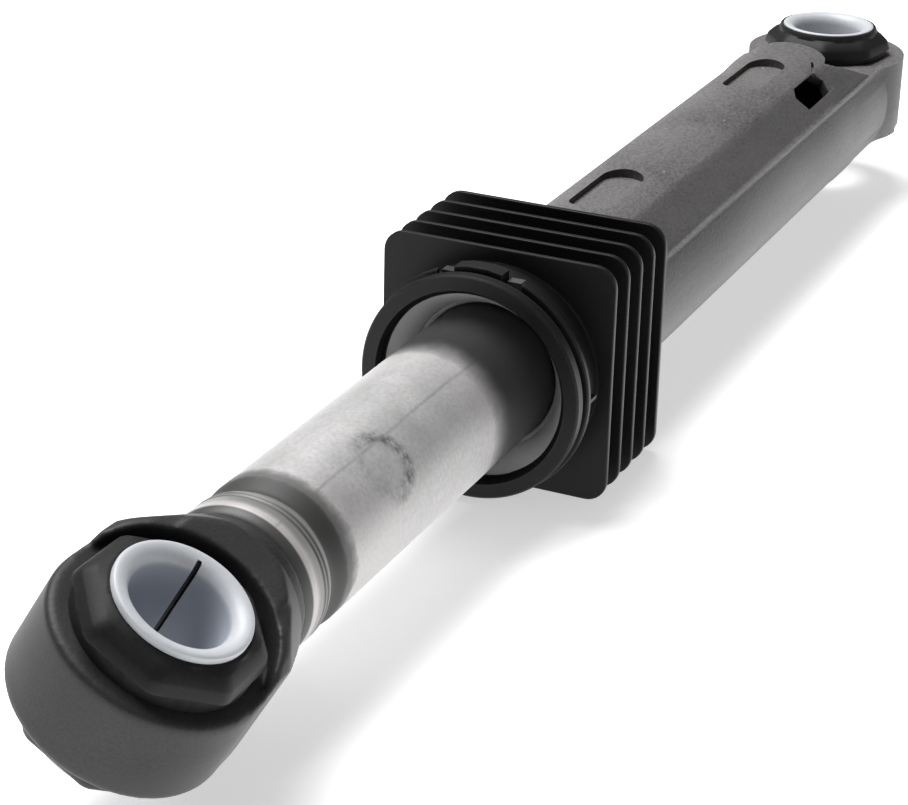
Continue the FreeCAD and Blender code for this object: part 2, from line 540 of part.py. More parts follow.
def build_bush(name, seat, seat_low, rise):
    """Rubber bush: barrel in the eye, an eight-sided tapered collar at each end."""
    body = new_body(name)
    inner = "sleeve_radius+fit_gap"
    up = "+" + rise
    cap = "collar_top_z+collar_drop-fit_gap" + up
    turned(body, "BarrelOf_" + name, [
        (inner, "-collar_low_z-1" + up), ("neck_radius-0.5", "-collar_low_z-1" + up),
        ("neck_radius", "-collar_low_z-0.02" + up), ("neck_radius", "-" + seat_low + "-fit_gap"),
        ("bush_radius-fit_gap", "-" + seat_low + "-fit_gap"),
        ("bush_radius-fit_gap", seat + "+fit_gap"), ("neck_radius", seat + "+fit_gap"),
        ("neck_radius", "collar_low_z+0.02" + up),
        ("collar_top*cos(22.5)-0.1", "collar_top_z-0.02" + up), ("lip_radius+0.2", cap),
        (inner, cap)], axis="V_Axis")
    for sign, word in (("", "Top"), ("-", "Low")):
        for lower, upper, low_z, top_z, part in (
                ("collar_low", "collar_mid", "collar_low_z", "collar_mid_z", "Skirt"),
                ("collar_mid", "collar_top", "collar_mid_z", "collar_top_z", "Taper")):
            sections = []
            for radius, height in ((lower, low_z), (upper, top_z)):
                sketch = new_sketch(body, "%s%s%s_%s" % (word, part, height[7:10], name),
                                    "XY_Plane", sign + height + up)
                outline(sketch, [
                    (radius + "*cos(%g)" % (22.5 + 45 * k), radius + "*sin(%g)" % (22.5 + 45 * k))
                    for k in range(8)])
                ring(sketch, inner)
                sections.append(sketch)
            loft = body.newObject("PartDesign::AdditiveLoft", "%s%s_%s" % (word, part, name))
            loft.Profile = sections[0]
            loft.Sections = [sections[1]]
            loft.Ruled = True
            doc.recompute()
    return body


def build_sleeve(name, rise):
    """Plastic sleeve with a lip at each end and one slit along its bore."""
    body = new_body(name)
    edge = [
        ("bore_radius", "sleeve_half-lip_inner_round"),
        ("bore_radius+0.3*lip_inner_round", "sleeve_half-0.3*lip_inner_round"),
        ("bore_radius+lip_inner_round", "sleeve_half"), ("lip_radius-0.35", "sleeve_half"),
        ("lip_radius", "sleeve_half-0.35"), ("lip_radius", "sleeve_half-lip_height"),
        ("sleeve_radius", "sleeve_half-lip_height")]
    upper = [(across, along + "+" + rise) for across, along in edge]
    lower = [(across, "-(" + along + ")+" + rise) for across, along in reversed(edge)]
    turned(body, "WallOf_" + name, upper + lower, axis="V_Axis")
    cut = new_sketch(body, "SlitSketchOf_" + name, "XY_Plane")
    outline(cut, [("5", "-slit_width/2"), ("bore_radius+slit_depth", "-slit_width/2"),
                  ("bore_radius+slit_depth", "slit_width/2"), ("5", "slit_width/2")])
    pocket(body, "SlitOf_" + name, cut, "40", middle=True)
    return body


housing_bush = build_bush("housing_bush", "flank_height", "flank_low", "housing_rise")
housing_bush.setExpression("Placement.Rotation.Angle", link("housing_bush_turn"))
housing_sleeve = build_sleeve("housing_sleeve", "housing_rise")
rod_bush = build_bush("rod_bush", "rod_eye_half", "rod_eye_half", "rod_rise")
at_rod_eye(rod_bush)
rod_sleeve = build_sleeve("rod_sleeve", "rod_rise")
at_rod_eye(rod_sleeve)
turn_eye = FreeCAD.Rotation(FreeCAD.Vector(1, 0, 0), amount("rod_eye_turn"))
turn_slit = FreeCAD.Rotation(FreeCAD.Vector(0, 0, 1), amount("slit_angle"))
rod_sleeve.setExpression("Placement.Rotation.Angle", None)
rod_sleeve.Placement.Rotation = turn_eye.multiply(turn_slit)

doc.recompute()
PIECES = [
    housing, collar, guide, lining, retainer, tube, slider, rod_end,
    housing_bush, housing_sleeve, rod_bush, rod_sleeve]
for thing in doc.Objects:
    for state in thing.State:
        if state in ("Invalid", "Error"):
            raise RuntimeError(thing.Name + " is " + state)
for piece in PIECES:
    if piece.Shape.isNull() or not piece.Shape.isValid():
        raise RuntimeError(piece.Label + " has no valid shape")
    if len(piece.Shape.Solids) != 1:
        raise RuntimeError(piece.Label + " is not one solid")
    piece.Shape.exportStep("parts/%s.step" % piece.Label)
    print(piece.Label, round(piece.Shape.Volume, 1), piece.Shape.BoundBox)
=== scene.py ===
import math
import bmesh
import bpy
from mathutils import Matrix, Vector


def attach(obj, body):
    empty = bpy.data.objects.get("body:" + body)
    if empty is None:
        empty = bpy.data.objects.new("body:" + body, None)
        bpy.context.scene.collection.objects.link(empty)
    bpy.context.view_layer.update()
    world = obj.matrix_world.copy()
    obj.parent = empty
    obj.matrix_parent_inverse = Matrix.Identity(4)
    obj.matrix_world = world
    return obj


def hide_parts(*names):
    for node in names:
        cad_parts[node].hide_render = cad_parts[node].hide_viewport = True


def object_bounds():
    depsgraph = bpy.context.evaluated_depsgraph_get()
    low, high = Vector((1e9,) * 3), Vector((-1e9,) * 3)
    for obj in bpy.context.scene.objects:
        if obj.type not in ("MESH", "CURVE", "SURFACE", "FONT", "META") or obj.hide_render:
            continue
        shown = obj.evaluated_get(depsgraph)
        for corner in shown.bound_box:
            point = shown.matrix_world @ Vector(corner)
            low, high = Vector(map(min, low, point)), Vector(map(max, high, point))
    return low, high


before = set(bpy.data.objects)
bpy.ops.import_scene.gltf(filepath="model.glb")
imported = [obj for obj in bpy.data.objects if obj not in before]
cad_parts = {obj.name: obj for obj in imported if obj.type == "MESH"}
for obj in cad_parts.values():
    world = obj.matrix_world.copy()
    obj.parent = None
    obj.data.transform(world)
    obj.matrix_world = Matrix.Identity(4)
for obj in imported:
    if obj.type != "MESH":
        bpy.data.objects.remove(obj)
cad_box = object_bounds()

MM = 0.001

# Places and sizes of the part, in mm, and turns.
MOUTH = -176.4                          # the housing's mouth, along X
ROD_EYE = -270.5                        # the bore of the rod's eye, along X
EYE_TURN = math.radians(31.0)           # how far the rod's eye leans about X
ROD_SLIT_TURN = math.radians(18.0)      # where the slit of its sleeve points, about its bore
HOUSING_RISE, ROD_RISE = 0.9, 0.5       # how far the bushes stand out on the upper side
TUBE_RADIUS = 15.2                      # the housing's round back
BORE_RADIUS = 12.9                      # the housing's inside
LEDGE_OUT, LEDGE_UP = 13.5, 7.8         # the upper corner of the ledge along the parting line
SLEEVE_BORE, SLEEVE_HALF = 6.5, 12.5    # a white sleeve's inner radius and half its length
FIN_HALF, FIN_CORNER = 18.95, 3.4       # a square plate of the collar: half its side, its corners


# Building blocks of the finishes ----------------------------------------

def add(tree, kind, **values):
    """A shader node with its plain settings and its unlinked inputs filled in."""
    node = tree.nodes.new("ShaderNode" + kind)
    for name, value in values.items():
        if name in node.bl_rna.properties and name not in ("inputs", "outputs"):
            setattr(node, name, value)
        else:
            node.inputs[name.replace("_", " ")].default_value = value
    return node


def wire(tree, *pairs):
    """Links each pair of sockets, from the first to the second."""
    for source, target in pairs:
        tree.links.new(source, target)


def fill(tree, socket, value):
    """Gives a socket its value, which may be another socket."""
    if isinstance(value, bpy.types.NodeSocket):
        wire(tree, (value, socket))
    else:
        socket.default_value = value


def new_group(name, inputs, outputs=("Mask",)):
    """An empty shader group with named sockets: its tree, what it is given and its results."""
    tree = bpy.data.node_groups.new(name, "ShaderNodeTree")
    for label, value in inputs.items():
        socket = tree.interface.new_socket(label, in_out="INPUT", socket_type="NodeSocketFloat")
        socket.default_value = value
    for label in outputs:
        tree.interface.new_socket(label, in_out="OUTPUT", socket_type="NodeSocketFloat")
    return tree, tree.nodes.new("NodeGroupInput").outputs, tree.nodes.new("NodeGroupOutput").inputs


def place(tree, group, **values):
    """Puts a group into a tree, with its inputs filled in."""
    node = tree.nodes.new("ShaderNodeGroup")
    node.node_tree = group
    for name, value in values.items():
        node.inputs[name].default_value = value
    return node.outputs


def own_place(tree):
    """Where a point lies in the part's frame, in metres."""
    return add(tree, "TexCoord").outputs["Object"]


def facing_up(tree):
    """How far a face looks up, from -1 to 1."""
    return split_up(tree, add(tree, "NewGeometry").outputs["Normal"])["Z"]


def split_up(tree, source):
    """The X, Y and Z sockets of a vector."""
    parts = add(tree, "SeparateXYZ")
    wire(tree, (source, parts.inputs["Vector"]))
    return parts.outputs


def noise(tree, where, scale, detail, roughness=0.5):
    """Even noise, from 0 to 1 about a middle of 0.5."""
    texture = add(tree, "TexNoise", Detail=detail, Roughness=roughness)
    wire(tree, (where, texture.inputs["Vector"]))
    fill(tree, texture.inputs["Scale"], scale)
    return texture.outputs["Fac"]


def spread_value(tree, source, low, high, start=0.3, stop=0.7, eased=False):
    """Spreads start to stop over low to high and holds still outside."""
    kind = "SMOOTHSTEP" if eased else "LINEAR"
    span = add(tree, "MapRange", interpolation_type=kind)
    wire(tree, (source, span.inputs["Value"]))
    limits = {"From Min": start, "From Max": stop, "To Min": low, "To Max": high}
    for label, value in limits.items():
        fill(tree, span.inputs[label], value)
    return span.outputs["Result"]


def worked_out(tree, operation, *terms, **settings):
    """The result of one step of arithmetic on sockets or numbers."""
    node = add(tree, "Math", operation=operation, **settings)
    for socket, value in zip(node.inputs, terms):
        fill(tree, socket, value)
    return node.outputs["Value"]


def product_of(tree, first, *others):
    """Multiplies sockets, one after the other."""
    for other in others:
        first = worked_out(tree, "MULTIPLY", first, other)
    return first


def vector_step(tree, operation, source, other=(0.0, 0.0, 0.0)):
    """The result of one step of arithmetic on a vector and a fixed vector."""
    node = add(tree, "VectorMath", operation=operation)
    wire(tree, (source, node.inputs[0]))
    node.inputs[1].default_value = tuple(other)
    return node.outputs["Value" if operation in ("LENGTH", "DOT_PRODUCT") else "Vector"]


def blend_colour(tree, mask, low, high):
    """Goes from one colour to another as the mask rises. Low may be a socket."""
    mix = add(tree, "Mix", data_type="RGBA")
    wire(tree, (mask, mix.inputs["Factor"]))
    fill(tree, mix.inputs[6], low if isinstance(low, bpy.types.NodeSocket) else (*low, 1.0))
    mix.inputs[7].default_value = (*high, 1.0)
    return mix.outputs[2]


def blend_value(tree, mask, low, high):
    """Goes from one value to another as the mask rises. Either may be a socket."""
    mix = add(tree, "Mix", data_type="FLOAT")
    wire(tree, (mask, mix.inputs["Factor"]))
    fill(tree, mix.inputs["A"], low)
    fill(tree, mix.inputs["B"], high)
    return mix.outputs["Result"]


def finish_named(name, **values):
    """A new material and its shader, with the values that are the same all over."""
    material = bpy.data.materials.new(name)
    material.use_nodes = True
    shader = material.node_tree.nodes["Principled BSDF"]
    for label, value in values.items():
        shader.inputs[label.replace("_", " ")].default_value = value
    return material, material.node_tree, shader


# Shared textures and masks ----------------------------------------------

def mould_grain():
    """The fine texture of a spark-eroded mould, with broad mottling of the tone."""
    tree, given, result = new_group(
        "mould_grain", {"Grain": 2600.0, "Mottle": 90.0}, ("Height", "Tone", "Patch"))
    where = own_place(tree)
    wire(tree, (noise(tree, where, given["Grain"], 3.0, 0.6), result["Height"]),
         (noise(tree, where, given["Mottle"], 5.0, 0.55), result["Tone"]),
         (noise(tree, where, 22.0, 2.0), result["Patch"]))
    return tree


def edge_wear_and_highlight():
    """A mask that is 1 on outer edges, broken up as handling leaves them: rubbed wear, and a
    painted highlight along the edges.
    """
    tree, given, result = new_group("edge_wear_and_highlight", {"Width": 0.5 * MM})
    soft = add(tree, "Bevel", samples=4)
    true = add(tree, "NewGeometry")
    alike = add(tree, "VectorMath", operation="DOT_PRODUCT")
    wire(tree, (given["Width"], soft.inputs["Radius"]), (soft.outputs["Normal"], alike.inputs[0]),
         (true.outputs["Normal"], alike.inputs[1]))
    edge = spread_value(tree, alike.outputs["Value"], 0.0, 1.0, 0.995, 0.86)
    breaks = noise(tree, own_place(tree), 420.0, 4.0)
    wire(tree, (product_of(tree, edge, breaks), result["Mask"]))
    return tree


def dust_specks():
    """Single pale specks on faces that look up."""
    tree, given, result = new_group("dust_specks", {"Amount": 0.5})
    cells = add(tree, "TexVoronoi", Randomness=1.0, Scale=160.0)
    wire(tree, (own_place(tree), cells.inputs["Vector"]))
    speck = spread_value(tree, cells.outputs["Distance"], 0.0, 1.0, 0.05, 0.02)
    upward = spread_value(tree, facing_up(tree), 0.0, 1.0, 0.3, 0.8)
    wire(tree, (product_of(tree, speck, upward, given["Amount"]), result["Mask"]))
    return tree


def drawn_lines():
    """Faint lines along X, as a drawn and plated tube has."""
    tree, given, result = new_group("drawn_lines", {"Fineness": 1400.0})
    stretched = vector_step(tree, "MULTIPLY", own_place(tree), (0.012, 1.0, 1.0))
    wire(tree, (noise(tree, stretched, given["Fineness"], 3.0), result["Mask"]))
    return tree


def zones_along():
    """A mask from one place along X to another, eased so that a dark zone fades in evenly."""
    tree, given, result = new_group(
        "zones_along", {"From": 0.0, "To": 1.0, "Softness": 0.6 * MM, "Ragged": 0.0})
    where = own_place(tree)
    torn = worked_out(tree, "SUBTRACT", noise(tree, where, 240.0, 6.0, 0.65), 0.5)
    shift = product_of(tree, torn, given["Ragged"])
    moved = worked_out(tree, "ADD", split_up(tree, where)["X"], shift)
    inside = []
    for label, sign in (("From", 1.0), ("To", -1.0)):
        apart = worked_out(tree, "SUBTRACT", moved, given[label])
        steps = worked_out(tree, "DIVIDE", apart, given["Softness"])
        inside.append(worked_out(tree, "MULTIPLY_ADD", steps, sign, 0.5, use_clamp=True))
    rest = worked_out(tree, "SUBTRACT", 1.0, product_of(tree, *inside))
    eased = worked_out(tree, "POWER", rest, 2.2)
    wire(tree, (worked_out(tree, "SUBTRACT", 1.0, eased), result["Mask"]))
    return tree


def thumb_print(middle, radius, band, sway):
    """A ring-shaped smudge, torn and stronger on its +X side. Its measures are in mm."""
    tree, given, result = new_group("thumb_print", {"Amount": 1.0})
    where = own_place(tree)
    off_middle = vector_step(tree, "SUBTRACT", where, Vector(middle) * MM)
    far = vector_step(tree, "LENGTH", off_middle)
    ragged = worked_out(tree, "MULTIPLY_ADD", noise(tree, where, 260.0, 3.0), sway * MM, far)
    off_ring = worked_out(tree, "ABSOLUTE", worked_out(tree, "SUBTRACT", ragged, radius * MM))
    ring = spread_value(tree, off_ring, 0.0, 1.0, band * MM, 0.0, eased=True)
    torn = spread_value(tree, noise(tree, where, 900.0, 4.0, 0.7), 0.0, 1.0, 0.34, 0.62)
    along = split_up(tree, off_middle)["X"]
    stronger = spread_value(tree, along, 0.3, 1.0, -3.5 * MM, 3.0 * MM, eased=True)
    wire(tree, (product_of(tree, ring, torn, stronger, given["Amount"]), result["Mask"]))
    return tree


def weld_line():
    """The drawn tube's faint seam, a hair wide and broken, that runs along its upper side."""
    tree, given, result = new_group("weld_line", {"Across": 0.0, "Width": 0.2 * MM})
    where = own_place(tree)
    sides = split_up(tree, where)
    sway = worked_out(tree, "MULTIPLY_ADD", noise(tree, where, 70.0, 2.0), 0.8 * MM, sides["Y"])
    apart = worked_out(tree, "ABSOLUTE", worked_out(tree, "SUBTRACT", sway, given["Across"]))
    share = worked_out(tree, "DIVIDE", apart, given["Width"])
    thin = spread_value(tree, share, 0.0, 1.0, 1.0, 0.3)
    breaks = noise(tree, where, 300.0, 3.0)
    upper = spread_value(tree, sides["Z"], 0.0, 1.0, 0.0, 1.0 * MM)
    wire(tree, (product_of(tree, thin, breaks, upper), result["Mask"]))
    return tree


def painted_shading_by_height():
    """A mask on steep walls that goes from 0 at one height to 1 at another, for painted light and
    shade by height.
    """
    tree, given, result = new_group("painted_shading_by_height", {
        "Zero": 0.0, "Full": 5.0 * MM, "Flat": 0.62, "Steep": 0.2, "Amount": 1.0})
    height = split_up(tree, own_place(tree))["Z"]
    level = spread_value(tree, height, 0.0, 1.0, given["Zero"], given["Full"], eased=True)
    flatness = worked_out(tree, "ABSOLUTE", facing_up(tree))
    wall = spread_value(tree, flatness, 0.0, 1.0, given["Flat"], given["Steep"], eased=True)
    wire(tree, (product_of(tree, level, wall, given["Amount"]), result["Mask"]))
    return tree


def region(name, gates):
    """A mask of a block of space.

    A gate is an axis, or Reach for the way off the X axis, with its start and where it is full,
    in mm."""
    tree, given, result = new_group(name, {"Amount": 1.0})
    where = own_place(tree)
    sides = split_up(tree, where)
    reach = vector_step(tree, "LENGTH", vector_step(tree, "MULTIPLY", where, (0.0, 1.0, 1.0)))
    mask = given["Amount"]
    for axis, start, full in gates:
        source = reach if axis == "Reach" else sides[axis]
        mask = product_of(tree, mask, spread_value(tree, source, 0.0, 1.0, start * MM, full * MM))
    wire(tree, (mask, result["Mask"]))
    return tree


def off_axis(tree, centre, axis):
    """The way from a sleeve's centre to a point, and how far off the sleeve's axis it lies."""
    offset = vector_step(tree, "SUBTRACT", own_place(tree), centre)
    return offset, vector_step(tree, "LENGTH", vector_step(tree, "CROSS_PRODUCT", offset, axis))


def sleeve_bore(name, centre, axis):
    """A mask of a sleeve's inner side, where painted shade goes."""
    tree, given, result = new_group(name, {"Amount": 1.0})
    reach = off_axis(tree, centre, axis)[1]
    near = spread_value(tree, reach, 0.0, 1.0, (SLEEVE_BORE + 0.25) * MM, SLEEVE_BORE * MM,
                        eased=True)
    wire(tree, (product_of(tree, near, given["Amount"]), result["Mask"]))
    return tree


def sleeve_slit(name, centre, axis, slit_way, half_wide, top):
    """A mask of what shows in a sleeve's slit, up to a height of top along its axis, in mm."""
    tree, given, result = new_group(name, {"Amount": 1.0})
    offset, reach = off_axis(tree, centre, axis)
    beyond = spread_value(tree, reach, 0.0, 1.0, SLEEVE_BORE * MM, (SLEEVE_BORE + 0.1) * MM,
                          eased=True)
    mask = product_of(tree, beyond, given["Amount"])
    for way, start, full in ((axis.cross(slit_way), half_wide, half_wide * 0.85),
                             (axis, top, top - 0.05)):
        apart = worked_out(tree, "ABSOLUTE", vector_step(tree, "DOT_PRODUCT", offset, way))
        mask = product_of(tree, mask, spread_value(tree, apart, 0.0, 1.0, start * MM, full * MM))
    outward = vector_step(tree, "DOT_PRODUCT", offset, slit_way)
    mask = product_of(tree, mask, spread_value(tree, outward, 0.0, 1.0, 0.0, 1.0 * MM))
    wire(tree, (mask, result["Mask"]))
    return tree


GRAIN, EDGE_WEAR_AND_HIGHLIGHT, SPECKS, LINES = mould_grain(), edge_wear_and_highlight(), dust_specks(), drawn_lines()
ZONES, SEAM, SIDE_SHADING = zones_along(), weld_line(), painted_shading_by_height()
PRINT = thumb_print((-220.2, -8.0, 7.5), 5.6, 2.1, 2.2)
# Blocks that get painted shade: the side window's inner walls, and the housing's +Y side inside the
# collar, where a tooth shows through the collar's gap.
WINDOW_SHADE = region("window_shade", (
    ("X", -49.2, -49.0), ("X", -31.8, -32.0), ("Y", -6.3, -6.5), ("Z", 8.1, 8.3),
    ("Reach", 14.45, 14.3)))
TOOTH_SHADE = region("tooth_shade", (("X", MOUTH + 9.2, MOUTH + 9.0), ("Y", 0.0, 0.3)))


# Finishes ---------------------------------------------------------------

def moulded(name, dark, light, edge, roughness, grain=2600.0, depth=0.3, mottle=90.0,
            specks=0.0, relief=0.06, fine_share=0.5, tones=(), **shader_values):
    """A moulded plastic or rubber: two close tones, mould grain, edges lighter for rubbed wear and
    as painted highlight, specks.

    tones lists (group, its settings, colour): a mask over the piece and its tone there; several are
    painted light or shade."""
    material, tree, shader = finish_named(name, **shader_values)
    texture = place(tree, GRAIN, Grain=grain, Mottle=mottle)
    tone = spread_value(tree, texture["Tone"], 0.0, 0.5)
    fine = spread_value(tree, texture["Height"], 0.0, fine_share, 0.35, 0.65)
    colour = blend_colour(tree, worked_out(tree, "ADD", tone, fine), dark, light)
    # Lighter edges: partly rubbed wear, partly painted highlight.
    colour = blend_colour(tree, place(tree, EDGE_WEAR_AND_HIGHLIGHT)["Mask"], colour, edge)
    for group, settings, shade in tones:
        colour = blend_colour(tree, place(tree, group, **settings)["Mask"], colour, shade)
    if specks:
        dust = place(tree, SPECKS, Amount=specks)
        colour = blend_colour(tree, dust["Mask"], colour, (0.55, 0.54, 0.52))
    shine = spread_value(tree, texture["Patch"], roughness - 0.05, roughness + 0.06)
    bump = add(tree, "Bump", Strength=depth, Distance=relief * MM)
    wire(tree, (colour, shader.inputs["Base Color"]), (shine, shader.inputs["Roughness"]),
         (texture["Height"], bump.inputs["Height"]),
         (bump.outputs["Normal"], shader.inputs["Normal"]))
    return material


def sleeve_white(name, at_x, lean, turn, top, bore_shade):
    """White sleeve plastic: painted shade, bluish, down its bore, and its slit painted black for
    the black rubber behind it and as painted shade.
    """
    upright = Matrix.Rotation(lean, 3, "X")
    axis = upright @ Vector((0.0, 0.0, 1.0))
    slit_way = upright @ Vector((math.cos(turn), math.sin(turn), 0.0))
    centre = (at_x * MM, 0.0, 0.0)
    bore = sleeve_bore(name + "_bore", centre, axis)
    slit = sleeve_slit(name + "_slit", centre, axis, slit_way, 0.36, top)
    return moulded(
        name, dark=(0.46, 0.475, 0.50), light=(0.51, 0.525, 0.55), edge=(0.56, 0.575, 0.60),
        roughness=0.42, grain=1500.0, depth=0.08, tones=(
            (bore, {"Amount": bore_shade}, (0.28, 0.305, 0.36)),
            (slit, {"Amount": 1.0}, (0.006, 0.006, 0.008))))


# Dark or dull stretches of the rod's tube. Each has its start and stop from the mouth, how soft
# and how ragged its ends are, all in mm, and its colour, roughness and share of metal.
ROD_ZONES = (
    (-68.6, -60.6, 1.2, 0.8, (0.22, 0.217, 0.214), 0.5, 0.3),       # round the rolled groove
    (-63.4, -59.3, 2.4, 3.4, (0.10, 0.098, 0.096), 0.6, 0.1),       # dirt that creeps out of it
    (-64.2, -61.1, 0.8, 1.5, (0.028, 0.0275, 0.0265), 0.62, 0.0),   # its far flank
    (-66.6, -66.1, 0.25, 0.2, (0.09, 0.09, 0.088), 0.5, 0.1),       # the first fine hoop
    (-67.45, -66.95, 0.25, 0.2, (0.09, 0.09, 0.088), 0.5, 0.1),     # the second fine hoop
    (-72.5, -70.4, 0.4, 0.1, (0.05, 0.05, 0.048), 0.5, 0.1),        # the end curled inward
    (-11.6, 70.0, 6.5, 3.2, (0.026, 0.0255, 0.025), 0.40, 0.1))     # painted reflection of the black collar, then painted shade inside the housing


def plated_steel():
    """Zinc-plated drawn tube, satin: cloudy, faintly lined, dull in its groove, darkened toward and
    inside the mouth as painted reflection of the black collar and painted shade.
    """
    material, tree, shader = finish_named("plated_steel")
    texture = place(tree, GRAIN, Grain=1700.0, Mottle=160.0)
    lines = place(tree, LINES, Fineness=1500.0)
    cloud = spread_value(tree, texture["Tone"], 0.0, 1.0)
    fine = spread_value(tree, texture["Height"], 0.0, 0.55, 0.4, 0.7)
    streak = spread_value(tree, lines["Mask"], 0.0, 0.3, 0.55, 0.85)
    smudge = spread_value(tree, texture["Patch"], 0.0, 0.25, 0.52, 0.72)
    warm = spread_value(tree, texture["Patch"], 0.0, 0.6, 0.5, 0.34)
    mark = place(tree, PRINT, Amount=0.95)["Mask"]
    seam = place(tree, SEAM, Across=-5.1 * MM, Width=0.28 * MM)["Mask"]
    colour = (0.405, 0.398, 0.398)
    for mask, shade in (
            (cloud, (0.49, 0.481, 0.482)), (fine, (0.30, 0.297, 0.293)),
            (streak, (0.31, 0.31, 0.305)), (smudge, (0.29, 0.29, 0.286)),
            (warm, (0.50, 0.46, 0.464)), (mark, (0.075, 0.075, 0.075)), (seam, (0.24, 0.24, 0.24))):
        colour = blend_colour(tree, mask, colour, shade)
    shine = spread_value(tree, texture["Tone"], 0.46, 0.56)
    metal = 0.35
    for start, stop, soft, torn, shade, rough, metallic in ROD_ZONES:
        zone = place(tree, ZONES, From=(MOUTH + start) * MM, To=(MOUTH + stop) * MM,
                     Softness=soft * MM, Ragged=torn * MM)["Mask"]
        colour = blend_colour(tree, zone, colour, shade)
        shine = blend_value(tree, zone, shine, rough)
        metal = blend_value(tree, zone, metal, metallic)
    bump = add(tree, "Bump", Strength=0.25, Distance=0.04 * MM)
    wire(tree, (texture["Height"], bump.inputs["Height"]),
         (bump.outputs["Normal"], shader.inputs["Normal"]),
         (colour, shader.inputs["Base Color"]), (shine, shader.inputs["Roughness"]),
         (metal, shader.inputs["Metallic"]))
    return material


HOUSING_PLASTIC = moulded(
    "housing_plastic", dark=(0.045, 0.043, 0.043), light=(0.135, 0.129, 0.128),
    edge=(0.15, 0.147, 0.145), roughness=0.55, grain=1750.0, depth=0.8, specks=0.6, mottle=60.0,
    relief=0.18, fine_share=0.8, tones=(
        # Painted shade on the band beside the deck and on the upper sides, painted light on the
        # lower sides.
        (SIDE_SHADING, {"Zero": 13.8 * MM, "Full": 11.6 * MM, "Flat": 0.9, "Steep": 0.78,
                 "Amount": 0.55}, (0.040, 0.038, 0.039)),
        (SIDE_SHADING, {"Zero": -4.0 * MM, "Full": 7.0 * MM, "Amount": 0.8}, (0.026, 0.025, 0.025)),
        (SIDE_SHADING, {"Zero": -1.0 * MM, "Full": -7.0 * MM, "Amount": 0.75}, (0.155, 0.150, 0.148)),
        # Painted shade where the housing reaches into the collar, deeper on the tooth behind the
        # collar's gap and on the side window's inner walls.
        (ZONES, {"From": (MOUTH - 10.0) * MM, "To": (MOUTH + 9.0) * MM}, (0.040, 0.039, 0.039)),
        (TOOTH_SHADE, {}, (0.008, 0.008, 0.008)),
        (WINDOW_SHADE, {"Amount": 0.92}, (0.006, 0.006, 0.006))))
COLLAR_PLASTIC = moulded(
    "collar_plastic", dark=(0.005, 0.005, 0.0055), light=(0.009, 0.009, 0.010),
    edge=(0.040, 0.040, 0.042), roughness=0.44, depth=0.25, Specular_IOR_Level=0.16)
GUIDE_PLASTIC = moulded(
    "guide_plastic", dark=(0.52, 0.525, 0.53), light=(0.60, 0.605, 0.61),
    edge=(0.68, 0.685, 0.69), roughness=0.42, depth=0.1)
PAD_FOAM = moulded(
    "pad_foam", dark=(0.22, 0.20, 0.15), light=(0.34, 0.31, 0.25), edge=(0.36, 0.33, 0.27),
    roughness=0.85, grain=1500.0, depth=1.0)
ROD_END_PLASTIC = moulded(
    "rod_end_plastic", dark=(0.016, 0.016, 0.0165), light=(0.034, 0.034, 0.0345),
    edge=(0.055, 0.055, 0.055), roughness=0.52, depth=0.5, specks=0.4,
    Specular_IOR_Level=0.28, tones=(
        # Painted light toward the bottom of the eye's walls, painted shade toward their top.
        (SIDE_SHADING, {"Zero": -4.0 * MM, "Full": -14.0 * MM, "Flat": 0.9, "Steep": 0.6,
                 "Amount": 0.6}, (0.085, 0.085, 0.085)),
        (SIDE_SHADING, {"Zero": -3.0 * MM, "Full": 9.0 * MM, "Flat": 0.9, "Steep": 0.6,
                 "Amount": 0.5}, (0.012, 0.012, 0.012))))
BUSH_RUBBER = moulded(
    "bush_rubber", dark=(0.0055, 0.0052, 0.0052), light=(0.011, 0.0102, 0.010),
    edge=(0.022, 0.021, 0.021), roughness=0.55, grain=1800.0, mottle=200.0,
    Specular_IOR_Level=0.2)
HOUSING_SLEEVE_WHITE = sleeve_white("housing_sleeve_white", 0.0, 0.0, math.pi, 12.9, 0.1)
ROD_SLEEVE_WHITE = sleeve_white("rod_sleeve_white", ROD_EYE, EYE_TURN, ROD_SLIT_TURN, 12.5, 0.85)
STEEL = plated_steel()


# Pieces -----------------------------------------------------------------

def keep(shape, name, material, body, node, angle):
    """Turns a finished bmesh into a piece that rides on its body in its node's place.

    Faces that meet at more than angle, in degrees, keep a sharp edge in the shading."""
    bmesh.ops.recalc_face_normals(shape, faces=shape.faces)
    mesh = bpy.data.meshes.new(name)
    shape.to_mesh(mesh)
    shape.free()
    for face in mesh.polygons:
        face.use_smooth = True
    mesh.set_sharp_from_angle(angle=math.radians(angle))
    mesh.materials.append(material)
    piece = bpy.data.objects.new(name, mesh)
    bpy.context.scene.collection.objects.link(piece)
    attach(piece, body)
    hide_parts(node)
    return piece


def spun(points, steps, turn=None):
    """A ring turned about X from a closed profile of (x, radius) in mm."""
    shape = bmesh.new()
    line = [shape.verts.new((x * MM, 0.0, radius * MM)) for x, radius in points]
    rim = [shape.edges.new((line[i], line[(i + 1) % len(line)])) for i in range(len(line))]
    bmesh.ops.spin(shape, geom=line + rim, cent=(0, 0, 0), axis=(1, 0, 0), angle=2 * math.pi,
                   steps=steps, use_merge=True, use_duplicate=False)
    bmesh.ops.remove_doubles(shape, verts=shape.verts, dist=1e-7)
    if turn is not None:
        bmesh.ops.transform(shape, matrix=turn, verts=shape.verts)
    return shape


def joined_copy(node):
    """The node's own form, its loose triangles merged, to be finished as a moulding."""
    shape = bmesh.new()
    shape.from_mesh(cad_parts[node].data)
    bmesh.ops.remove_doubles(shape, verts=shape.verts, dist=2e-6)
    bmesh.ops.dissolve_limit(shape, angle_limit=math.radians(0.05), verts=shape.verts,
                             edges=shape.edges, delimit={"NORMAL"})
    return shape


